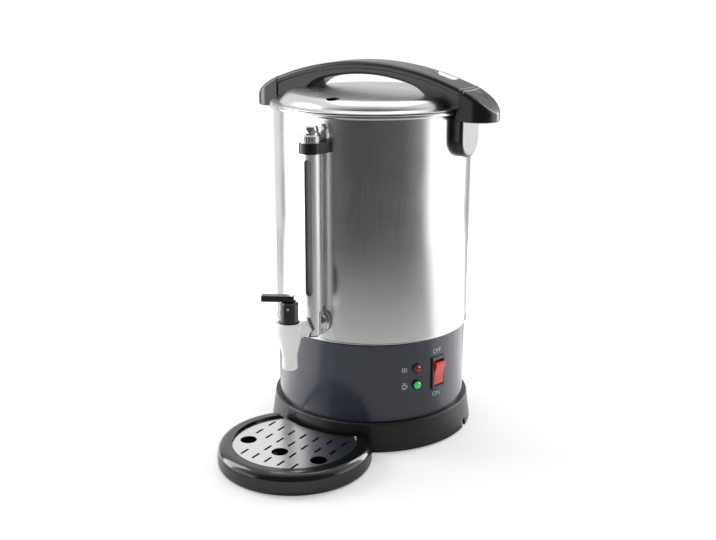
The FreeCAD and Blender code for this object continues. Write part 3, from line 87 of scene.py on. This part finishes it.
# A strip across the top of each grip, beside its seam: glossier, and lighter as painted sheen, with painted
# highlight lines along its edges
STRIP_START_R = 0.1180
STRIP_R = 0.1224
STRIP_EDGE = 0.0005
STRIP_LOW_Z = 0.374
STRIP_FADE = 0.001
STRIP_UPWARD = (0.3, 0.6)
# The strip's lighter colour is painted sheen on the grip's top; its lower roughness is real gloss
STRIP_SHEEN_COLOUR = (0.030, 0.030, 0.032)
STRIP_ROUGH = (0.16, 0.16, 0.16)
STRIP_STEP = 0.0008
STRIP_STEP_STRENGTH = 0.9
# The thin lines along both edges of the strip are painted highlight: a lighter grey that stands for light
# caught on the seam's edges
PAINTED_GLINT_COLOUR = (0.42, 0.42, 0.43)
GLINT_HALF_WIDTH = 0.0006

# Smudges and grain: the part of the noise that is used, and the size of the smudges
NOISE_SPAN = (0.3, 0.7)
SMUDGE_SCALE = 22.0
LEAST_ROUGH = 0.02

# Studio: brightness of what metal sees round it, by the angle from the camera's side
SURROUND = (
    (-180, 0.36), (-165, 0.46), (-136, 0.46), (-130, 0.14), (-125, 0.20),
    (-118, 1.00), (-60, 1.00), (-50, 0.07), (-20, 0.040), (35, 0.06),
    (60, 0.15), (74, 1.00), (134, 0.95), (144, 0.17), (180, 0.36),
)
SURROUND_GAIN = 1.9
FLOOR_R = 0.95
FLOOR_STEPS = 96
FLOOR_GREY = (0.93, 0.93, 0.93)
FLOOR_MIRRORED_GREY = (0.9, 0.9, 0.9)
FLOOR_FADE = (0.34, 1.0)
FLOOR_GLOW_START = 0.45
FLOOR_GLOW = 0.40
FLOOR_EDGE_GLOW = 1.1
SKY_RISE = (0.10, 0.55)
SKY_TURN = (-0.15, 0.35)
SKY_TURN_DIP = -0.25
SKY_LEVEL = 0.90
FRONT_SKY_LEVEL = 0.10
AMBIENT = 0.34
LAMP_AIM = Vector((0, 0, 0.2))


def add_node(tree, kind, settings=None, **inputs):
    """A shader node; an input is a number, a colour or another node's output."""
    made = tree.nodes.new("ShaderNode" + kind)
    for key, value in (settings or {}).items():
        setattr(made, key, value)
    for key, value in inputs.items():
        socket = made.inputs[int(key[1:])] if key[0] == "_" else made.inputs[key.replace("_", " ")]
        if isinstance(value, bpy.types.NodeSocket):
            tree.links.new(value, socket)
        else:
            socket.default_value = value
    return made


def math_node(tree, operation, first, second=0.0, third=0.0):
    """The result of one sum on numbers or outputs."""
    return add_node(tree, "Math", {"operation": operation}, _0=first, _1=second, _2=third).outputs[0]


def ramp(tree, value, stops):
    """A grey ramp through (place, brightness) stops."""
    made = add_node(tree, "ValToRGB", None, Fac=value)
    elements = made.color_ramp.elements
    while len(elements) < len(stops):
        elements.new(0.5)
    for element, (place, level) in zip(elements, stops):
        element.position = place
        element.color = (level, level, level, 1.0)
    return made.outputs["Color"]


def map_range(tree, value, low, high, to_low=0.0, to_high=1.0):
    """A value moved from one span to another, and held at its ends."""
    return add_node(tree, "MapRange", None, Value=value, From_Min=low, From_Max=high,
                    To_Min=to_low, To_Max=to_high).outputs["Result"]


def mix_colour(tree, share, first, second, blend="MIX"):
    """Two colours or outputs mixed; a share of 1 gives the second."""
    made = tree.nodes.new("ShaderNodeMix")
    made.data_type = "RGBA"
    made.blend_type = blend
    for socket, value in ((made.inputs[0], share), (made.inputs[6], first), (made.inputs[7], second)):
        if isinstance(value, bpy.types.NodeSocket):
            tree.links.new(value, socket)
        elif hasattr(value, "__len__"):
            socket.default_value = tuple(value) + (1.0,)
        else:
            socket.default_value = value
    return made.outputs[2]


def coordinates(tree, kind, scale):
    """A place on the piece: plain, upright for vertical strokes, or rings about the tank's axis."""
    place = add_node(tree, "TexCoord").outputs["Object"]
    if kind == "rings":
        flat = add_node(tree, "VectorMath", {"operation": "MULTIPLY"}, _0=place, _1=(1, 1, 0)).outputs[0]
        radius = add_node(tree, "VectorMath", {"operation": "LENGTH"}, _0=flat).outputs["Value"]
        high = add_node(tree, "SeparateXYZ", None, Vector=place).outputs["Z"]
        return add_node(tree, "CombineXYZ", None, X=math_node(tree, "MULTIPLY", radius, scale),
                        Y=math_node(tree, "MULTIPLY", high, scale)).outputs[0]
    stretch = {"plain": (1, 1, 1), "upright": (1, 1, 0.012), "along_x": (0.03, 1, 1)}[kind]
    size = tuple(scale * share for share in stretch)
    return add_node(tree, "VectorMath", {"operation": "MULTIPLY"}, _0=place, _1=size).outputs[0]


def noise(tree, kind, scale, detail):
    """Soft noise between 0 and 1 in one of the kinds of coordinates."""
    return add_node(tree, "TexNoise", None, Vector=coordinates(tree, kind, scale),
                    Scale=1.0, Detail=detail).outputs["Fac"]


def finish_material(slot, colour, rough, metal=0.0, spread=0.06, tint=0.05, grain="plain", grain_scale=900.0,
                    bump=0.05, bump_depth=0.0002, extra=None):
    """A principled surface: smudges change its colour and gloss a little, and a fine grain its relief."""
    material = bpy.data.materials.new(slot)
    material.use_nodes = True
    tree = material.node_tree
    surface = tree.nodes["Principled BSDF"]
    smudge = noise(tree, "plain", SMUDGE_SCALE, 3.0)
    fine = noise(tree, grain, grain_scale, 2.0)
    both = math_node(tree, "MULTIPLY_ADD", fine, 0.5, math_node(tree, "MULTIPLY", smudge, 0.5))
    dark = tuple(max(0.0, c * (1 - tint)) for c in colour)
    light = tuple(min(1.0, c * (1 + tint)) for c in colour)
    shade = mix_colour(tree, map_range(tree, both, *NOISE_SPAN), dark, light)
    tree.links.new(shade, surface.inputs["Base Color"])
    gloss = map_range(tree, both, *NOISE_SPAN, max(LEAST_ROUGH, rough - spread), rough + spread)
    tree.links.new(gloss, surface.inputs["Roughness"])
    surface.inputs["Metallic"].default_value = metal
    for key, value in (extra or {}).items():
        surface.inputs[key].default_value = value
    relief = add_node(tree, "Bump", None, Strength=bump, Distance=bump_depth, Height=fine)
    tree.links.new(relief.outputs[0], surface.inputs["Normal"])
    return material


COAT = {"Coat Weight": 0.6, "Coat Roughness": 0.08}
FINISHES = {
    "brushed_steel": dict(colour=(0.74, 0.74, 0.73), rough=0.20, metal=1.0, spread=0.05, tint=0.06,
                          grain="upright", grain_scale=2600.0, bump=0.10, bump_depth=0.00006),
    "lid_steel": dict(colour=(0.70, 0.70, 0.69), rough=0.27, metal=1.0, spread=0.05, tint=0.04,
                      grain="rings", grain_scale=2400.0, bump=0.10, bump_depth=0.00006),
    "inner_steel": dict(colour=(0.56, 0.56, 0.55), rough=0.30, metal=1.0),
    "zinc_steel": dict(colour=(0.52, 0.53, 0.55), rough=0.36, metal=1.0, tint=0.1, grain_scale=1500.0),
    "polished_steel": dict(colour=(0.84, 0.84, 0.83), rough=0.19, metal=1.0, spread=0.05,
                           grain="along_x", grain_scale=1800.0, bump=0.06, bump_depth=0.00005),
    "chrome": dict(colour=(0.80, 0.80, 0.80), rough=0.08, metal=1.0, spread=0.03, bump=0.01),
    "satin_tube": dict(colour=(0.90, 0.90, 0.90), rough=0.48, metal=1.0, spread=0.04, tint=0.03,
                       grain="upright", grain_scale=2600.0, bump=0.06, bump_depth=0.00005,
                       extra={"Coat Weight": 0.8, "Coat Roughness": 0.06, "Coat IOR": 1.9}),
    "element_steel": dict(colour=(0.30, 0.27, 0.24), rough=0.45, metal=1.0, tint=0.2),
    "cast_aluminium": dict(colour=(0.50, 0.50, 0.50), rough=0.55, metal=1.0, tint=0.12,
                           grain_scale=700.0, bump=0.3),
    "brass": dict(colour=(0.62, 0.46, 0.20), rough=0.28, metal=1.0),
    "slate_paint": dict(colour=(0.030, 0.040, 0.062), rough=0.30, spread=0.05, tint=0.10,
                        grain_scale=1600.0, bump=0.10, bump_depth=0.00012,
                        extra={"Coat Weight": 0.55, "Coat Roughness": 0.12}),
    "black_plastic": dict(colour=(0.010, 0.010, 0.011), rough=0.34, spread=0.06, tint=0.2,
                          grain_scale=2200.0, bump=0.16),
    "handle_black": dict(colour=(0.010, 0.010, 0.011), rough=0.22, spread=0.04, tint=0.18,
                         grain_scale=2400.0, bump=0.12, bump_depth=0.0001,
                         extra={"Specular IOR Level": 0.60}),
    "black_gloss": dict(colour=(0.006, 0.006, 0.007), rough=0.12, spread=0.04, tint=0.2, bump=0.02,
                        extra=COAT),
    "tray_black": dict(colour=(0.007, 0.007, 0.008), rough=0.12, spread=0.05, tint=0.2, bump=0.03,
                       extra=COAT),
    "black_rubber": dict(colour=(0.016, 0.016, 0.016), rough=0.75, tint=0.2, bump=0.3),
    "phenolic": dict(colour=(0.030, 0.014, 0.008), rough=0.50, tint=0.2, bump=0.2),
    "wire_insulation": dict(colour=(0.16, 0.14, 0.12), rough=0.45, tint=0.25),
    "silicone": dict(colour=(0.62, 0.62, 0.60), rough=0.48, tint=0.05, bump=0.1,
                     extra={"Subsurface Weight": 0.15, "Subsurface Scale": 0.003}),
    # Milky plastic also glows faintly white: painted light that brightens it, though it is no lamp
    "milky_plastic": dict(colour=(0.93, 0.93, 0.93), rough=0.24, tint=0.02, bump=0.03,
                          extra={"Transmission Weight": 0.06, "IOR": 1.46,
                                 "Subsurface Weight": 0.4, "Subsurface Scale": 0.004,
                                 "Emission Color": (1.0, 1.0, 1.0, 1.0), "Emission Strength": 0.16}),
    "gauge_glass": dict(colour=(0.62, 0.64, 0.64), rough=0.14, spread=0.04, tint=0.06, bump=0.01,
                        extra={"Transmission Weight": 0.30, "IOR": 1.47}),
    # The red rocker glows faintly: painted glow that brightens it, though it is no lamp
    "red_translucent": dict(colour=(0.62, 0.020, 0.015), rough=0.16, tint=0.12, bump=0.03,
                            extra={"Coat Weight": 0.7, "Coat Roughness": 0.05,
                                   "Emission Color": (1.0, 0.03, 0.02, 1.0), "Emission Strength": 0.22}),
    "red_lens": dict(colour=(0.30, 0.006, 0.008), rough=0.10, tint=0.2, bump=0.03,
                     extra={"Coat Weight": 1.0, "Coat Roughness": 0.03,
                            "Emission Color": (1.0, 0.02, 0.02, 1.0), "Emission Strength": 0.06}),
    "green_lens": dict(colour=(0.02, 0.42, 0.10), rough=0.10, tint=0.15, bump=0.03,
                       extra={"Coat Weight": 1.0, "Coat Roughness": 0.03,
                              "Emission Color": (0.03, 0.85, 0.22, 1.0), "Emission Strength": 0.45}),
}
materials = {slot: finish_material(slot, **choice) for slot, choice in FINISHES.items()}


def add_strip_and_painted_glints(material):
    """A glossier strip across the top of the grip beside its seam, lighter as painted sheen, with painted
    highlight lines at its edges and a small step.
    """
    tree = material.node_tree
    surface = tree.nodes["Principled BSDF"]
    coords = add_node(tree, "TexCoord").outputs
    place = coords["Object"]
    upward = add_node(tree, "SeparateXYZ", None, Vector=coords["Normal"]).outputs["Z"]
    flat = add_node(tree, "VectorMath", {"operation": "MULTIPLY"}, _0=place, _1=(1, 1, 0)).outputs[0]
    radius = add_node(tree, "VectorMath", {"operation": "LENGTH"}, _0=flat).outputs["Value"]
    height = add_node(tree, "SeparateXYZ", None, Vector=place).outputs["Z"]
    high_enough = map_range(tree, height, STRIP_LOW_Z, STRIP_LOW_Z + STRIP_FADE)
    on_top = math_node(tree, "MULTIPLY", high_enough, map_range(tree, upward, *STRIP_UPWARD))
    within = map_range(tree, radius, STRIP_R, STRIP_R + STRIP_EDGE, 1.0, 0.0)
    inside = math_node(tree, "MULTIPLY", on_top, within)
    # Painted highlight lines along both edges of the strip, on upward faces only
    first_edge = math_node(tree, "COMPARE", radius, STRIP_START_R, GLINT_HALF_WIDTH)
    last_edge = math_node(tree, "COMPARE", radius, STRIP_R, GLINT_HALF_WIDTH)
    painted_glint = math_node(tree, "MULTIPLY", on_top, math_node(tree, "MAXIMUM", first_edge, last_edge))
    # On the strip, the lighter colour is painted sheen and the lower roughness is real gloss; the edge lines
    # take the painted highlight colour
    for key, target, share in (("Base Color", STRIP_SHEEN_COLOUR, inside), ("Roughness", STRIP_ROUGH, inside),
                               ("Base Color", PAINTED_GLINT_COLOUR, painted_glint)):
        before = surface.inputs[key].links[0].from_socket
        tree.links.new(mix_colour(tree, share, before, target), surface.inputs[key])
    old = surface.inputs["Normal"].links[0].from_socket
    step = add_node(tree, "Bump", None, Strength=STRIP_STEP_STRENGTH, Distance=STRIP_STEP,
                    Height=inside, Normal=old)
    tree.links.new(step.outputs[0], surface.inputs["Normal"])


# Grips: handle black with the strip's real gloss, its painted sheen and its painted highlight lines
materials["handle_strip_painted_glints"] = finish_material("handle_strip_painted_glints", **FINISHES["handle_black"])
add_strip_and_painted_glints(materials["handle_strip_painted_glints"])
slot_of = {row["node"]: row["material_slot"] for row in frame["record"]["subparts"]}
slot_of["gauge_guard"] = "satin_tube"
slot_of["side_handle_right"] = slot_of["side_handle_left"] = "handle_strip_painted_glints"
for name, thing in nodes.items():
    material = materials[slot_of[name]]
    if not thing.material_slots:
        thing.data.materials.append(material)
    for place in thing.material_slots:
        place.material = material


def on_band(across, up, radius):
    """A point on the band from a distance round it, measured at its surface, and a height."""
    angle = across / BAND_R
    return Vector((radius * math.sin(angle), -radius * math.cos(angle), up))


def printed(name, mesh, angle, height):
    """Wrap a flat mesh of print, drawn in X and Y with Z for its two faces, round the band."""
    start = math.radians(angle) * BAND_R
    for vertex in mesh.vertices:
        radius = BAND_R + (PRINT_OUT if vertex.co.z > 0 else -PRINT_IN)
        vertex.co = on_band(start + vertex.co.x, height + vertex.co.y, radius)
    thing = bpy.data.objects.new(name, mesh)
    bpy.context.scene.collection.objects.link(thing)
    mesh.materials.clear()
    mesh.materials.append(print_ink)
    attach(thing, "base")


def letters(name, words, angle, height):
    """A word as thin print on the band."""
    curve = bpy.data.curves.new(name + "_line", "FONT")
    curve.body = words
    curve.size = LETTER_SIZE
    curve.extrude = PRINT_HALF
    curve.align_x = "CENTER"
    curve.align_y = "CENTER"
    curve.resolution_u = LETTER_STEPS
    flat = bpy.data.objects.new(name + "_line", curve)
    bpy.context.scene.collection.objects.link(flat)
    bpy.context.view_layer.update()
    mesh = bpy.data.meshes.new_from_object(flat)
    mesh.name = name
    bpy.data.objects.remove(flat)
    printed(name, mesh, angle, height)


def strokes(name, lines, angle, height):
    """Thin closed ribbons that follow lines of (across, up) points."""
    shape = bmesh.new()
    for line in lines:
        points = [Vector(point) for point in line]
        rows = []
        for index, point in enumerate(points):
            before = points[max(index - 1, 0)]
            after = points[min(index + 1, len(points) - 1)]
            along = (after - before).normalized()
            side = Vector((-along.y, along.x)) * STROKE / 2
            row = []
            for edge, face in ((1, 1), (-1, 1), (-1, -1), (1, -1)):
                spot = point + side * edge
                row.append(shape.verts.new((spot.x, spot.y, face * PRINT_HALF)))
            rows.append(row)
        for first, second in zip(rows, rows[1:]):
            for corner in range(4):
                following = (corner + 1) % 4
                shape.faces.new((first[corner], first[following], second[following], second[corner]))
        shape.faces.new(rows[0][::-1])
        shape.faces.new(rows[-1])
    bmesh.ops.recalc_face_normals(shape, faces=shape.faces)
    mesh = bpy.data.meshes.new(name)
    shape.to_mesh(mesh)
    shape.free()
    printed(name, mesh, angle, height)


def wave(left, low, high, steps=14):
    """A wavy upright line, as steam or heat is drawn."""
    return [(left + WAVE_SWING * math.sin(4 * math.pi * step / steps), low + (high - low) * step / steps)
            for step in range(steps + 1)]


def arc(middle, radius, start, end, steps=12):
    """Points along an arc, its start and end in degrees."""
    angles = [math.radians(start + (end - start) * step / steps) for step in range(steps + 1)]
    return [(middle[0] + radius * math.cos(angle), middle[1] + radius * math.sin(angle)) for angle in angles]


print_ink = finish_material("print_white", WHITE_PRINT, 0.45, tint=0.04, bump=0.02)
letters("off_mark", "OFF", SWITCH_ANGLE, OFF_Z)
letters("on_mark", "ON", SWITCH_ANGLE, ON_Z)
icon_angle = LAMP_ANGLE - math.degrees(ICON_OFFSET / BAND_R)
heat_lines = [wave(left, -HEAT_HALF_TALL, HEAT_HALF_TALL) for left in (-HEAT_SPREAD, 0.0, HEAT_SPREAD)]
strokes("heat_mark", heat_lines, icon_angle, RED_LAMP_Z)
cup_bottom = arc((0.0, CUP_MIDDLE_Z), CUP_R, 190, 350)
strokes("warm_mark", [
    [(-CUP_HALF_WIDTH, CUP_BRIM_Z)] + cup_bottom + [(CUP_HALF_WIDTH, CUP_BRIM_Z)],
    [(-CUP_BRIM_HALF_WIDTH, CUP_BRIM_Z), (CUP_BRIM_HALF_WIDTH, CUP_BRIM_Z)],
    arc((CUP_HANDLE_X, CUP_MIDDLE_Z), CUP_HANDLE_R, -80, 80),
    [(-SAUCER_HALF_WIDTH, SAUCER_Z), (SAUCER_HALF_WIDTH, SAUCER_Z)],
    wave(-STEAM_X, STEAM_LOW_Z, STEAM_HIGH_Z),
    wave(STEAM_X, STEAM_LOW_Z, STEAM_HIGH_Z),
], icon_angle, GREEN_LAMP_Z)


# Camera
azimuth = math.radians(VIEW_AZIMUTH)
yaw = math.radians(VIEW_YAW)
pitch = math.radians(VIEW_PITCH)
roll = math.radians(VIEW_ROLL)
ahead = Matrix.Rotation(azimuth, 3, "Z") @ Vector((
    math.sin(yaw) * math.cos(pitch), math.cos(yaw) * math.cos(pitch), -math.sin(pitch)))
right = ahead.cross(Vector((0, 0, 1))).normalized()
above = right.cross(ahead)
right_rolled = right * math.cos(roll) + above * math.sin(roll)
above_rolled = above * math.cos(roll) - right * math.sin(roll)
camera_data = bpy.data.cameras.new("camera")
camera_data.sensor_width = SENSOR
camera_data.lens = FOCAL_PIXELS / IMAGE_WIDTH * SENSOR
camera_data.clip_start = 0.01
camera = bpy.data.objects.new("camera", camera_data)
pose = Matrix((right_rolled, above_rolled, -ahead)).transposed().to_4x4()
pose.translation = Vector((VIEW_REACH * math.sin(azimuth), -VIEW_REACH * math.cos(azimuth), VIEW_HEIGHT))
camera.matrix_world = pose
bpy.context.scene.collection.objects.link(camera)
bpy.context.scene.camera = camera


def surround(tree, x, y):
    """Brightness of the studio by the angle round the object, from the camera's side."""
    angle = math_node(tree, "ARCTAN2", x, math_node(tree, "MULTIPLY", y, -1.0))
    turned = math_node(tree, "SUBTRACT", angle, azimuth)
    wrapped = math_node(tree, "WRAP", turned, math.pi, -math.pi)
    place = map_range(tree, wrapped, -math.pi, math.pi)
    grey = ramp(tree, place, [((degrees + 180) / 360, level) for degrees, level in SURROUND])
    return add_node(tree, "VectorMath", {"operation": "SCALE"}, _0=grey, Scale=SURROUND_GAIN).outputs[0]


def light_path(tree):
    """Whether a ray comes from the camera, and whether it comes from a mirror or through glass."""
    rays = add_node(tree, "LightPath").outputs
    mirrored = math_node(tree, "MAXIMUM", rays["Is Glossy Ray"], rays["Is Transmission Ray"])
    return rays["Is Camera Ray"], mirrored


def make_floor():
    """A pale round floor that takes a shadow, and whose edge is as white as the background."""
    mesh = bpy.data.meshes.new("floor")
    shape = bmesh.new()
    bmesh.ops.create_circle(shape, cap_ends=True, segments=FLOOR_STEPS, radius=FLOOR_R)
    shape.to_mesh(mesh)
    shape.free()
    floor = bpy.data.objects.new("floor", mesh)
    bpy.context.scene.collection.objects.link(floor)
    material = bpy.data.materials.new("floor")
    material.use_nodes = True
    tree = material.node_tree
    tree.nodes.remove(tree.nodes["Principled BSDF"])
    place = add_node(tree, "TexCoord").outputs["Object"]
    parts = add_node(tree, "SeparateXYZ", None, Vector=place).outputs
    distance = add_node(tree, "VectorMath", {"operation": "LENGTH"}, _0=place).outputs["Value"]
    seen, mirrored = light_path(tree)
    far = map_range(tree, distance, *FLOOR_FADE)
    walls = surround(tree, parts["X"], parts["Y"])
    near = mix_colour(tree, 1.0, FLOOR_MIRRORED_GREY, walls, "LIGHTEN")
    shade = mix_colour(tree, far, near, walls)
    colour = mix_colour(tree, mirrored, FLOOR_GREY, shade)
    matt = add_node(tree, "BsdfDiffuse", None, Color=colour)
    glow_level = map_range(tree, distance, FLOOR_GLOW_START, FLOOR_R, FLOOR_GLOW, FLOOR_EDGE_GLOW)
    strength = math_node(tree, "MULTIPLY", seen, glow_level)
    glow = add_node(tree, "Emission", None, Color=(1, 1, 1, 1), Strength=strength)
    total = add_node(tree, "AddShader")
    tree.links.new(matt.outputs[0], total.inputs[0])
    tree.links.new(glow.outputs[0], total.inputs[1])
    tree.links.new(total.outputs[0], tree.nodes["Material Output"].inputs["Surface"])
    mesh.materials.append(material)


def make_world():
    """White to the camera; walls and a sky to mirrors; a soft even light to everything else."""
    world = bpy.data.worlds.new("studio")
    bpy.context.scene.world = world
    world.use_nodes = True
    tree = world.node_tree
    spot = add_node(tree, "TexCoord").outputs["Generated"]
    parts = add_node(tree, "SeparateXYZ", None, Vector=spot).outputs
    seen, mirrored = light_path(tree)
    walls = surround(tree, parts["X"], parts["Y"])
    high = map_range(tree, parts["Z"], *SKY_RISE)
    facing = (math.sin(azimuth), -math.cos(azimuth), SKY_TURN_DIP)
    front = add_node(tree, "VectorMath", {"operation": "DOT_PRODUCT"}, _0=spot, _1=facing).outputs["Value"]
    sky = mix_colour(tree, map_range(tree, front, *SKY_TURN), (SKY_LEVEL,) * 3, (FRONT_SKY_LEVEL,) * 3)
    shade = mix_colour(tree, high, walls, sky)
    colour = mix_colour(tree, mirrored, (AMBIENT, AMBIENT, AMBIENT), shade)
    colour = mix_colour(tree, seen, colour, (1.0, 1.0, 1.0))
    tree.links.new(colour, tree.nodes["Background"].inputs["Color"])


def soft_light(name, turn, reach, height, width, tall, watts):
    """An upright or overhead panel of light that faces the object."""
    data = bpy.data.lights.new(name, "AREA")
    data.shape = "RECTANGLE"
    data.size = width
    data.size_y = tall
    data.energy = watts
    lamp = bpy.data.objects.new(name, data)
    bearing = azimuth + math.radians(turn)
    lamp.location = (reach * math.sin(bearing), -reach * math.cos(bearing), height)
    aim = LAMP_AIM - lamp.location
    lamp.rotation_euler = aim.to_track_quat("-Z", "Y").to_euler()
    lamp.visible_camera = False
    bpy.context.scene.collection.objects.link(lamp)


make_floor()
make_world()
soft_light("light_left", turn=-98, reach=1.15, height=0.60, width=0.5, tall=1.3, watts=8.5)
soft_light("light_right", turn=118, reach=1.20, height=0.60, width=0.42, tall=1.3, watts=7.5)
soft_light("light_top", turn=170, reach=0.45, height=1.7, width=1.2, tall=1.0, watts=5.5)

bpy.context.scene.view_settings.view_transform = "Standard"
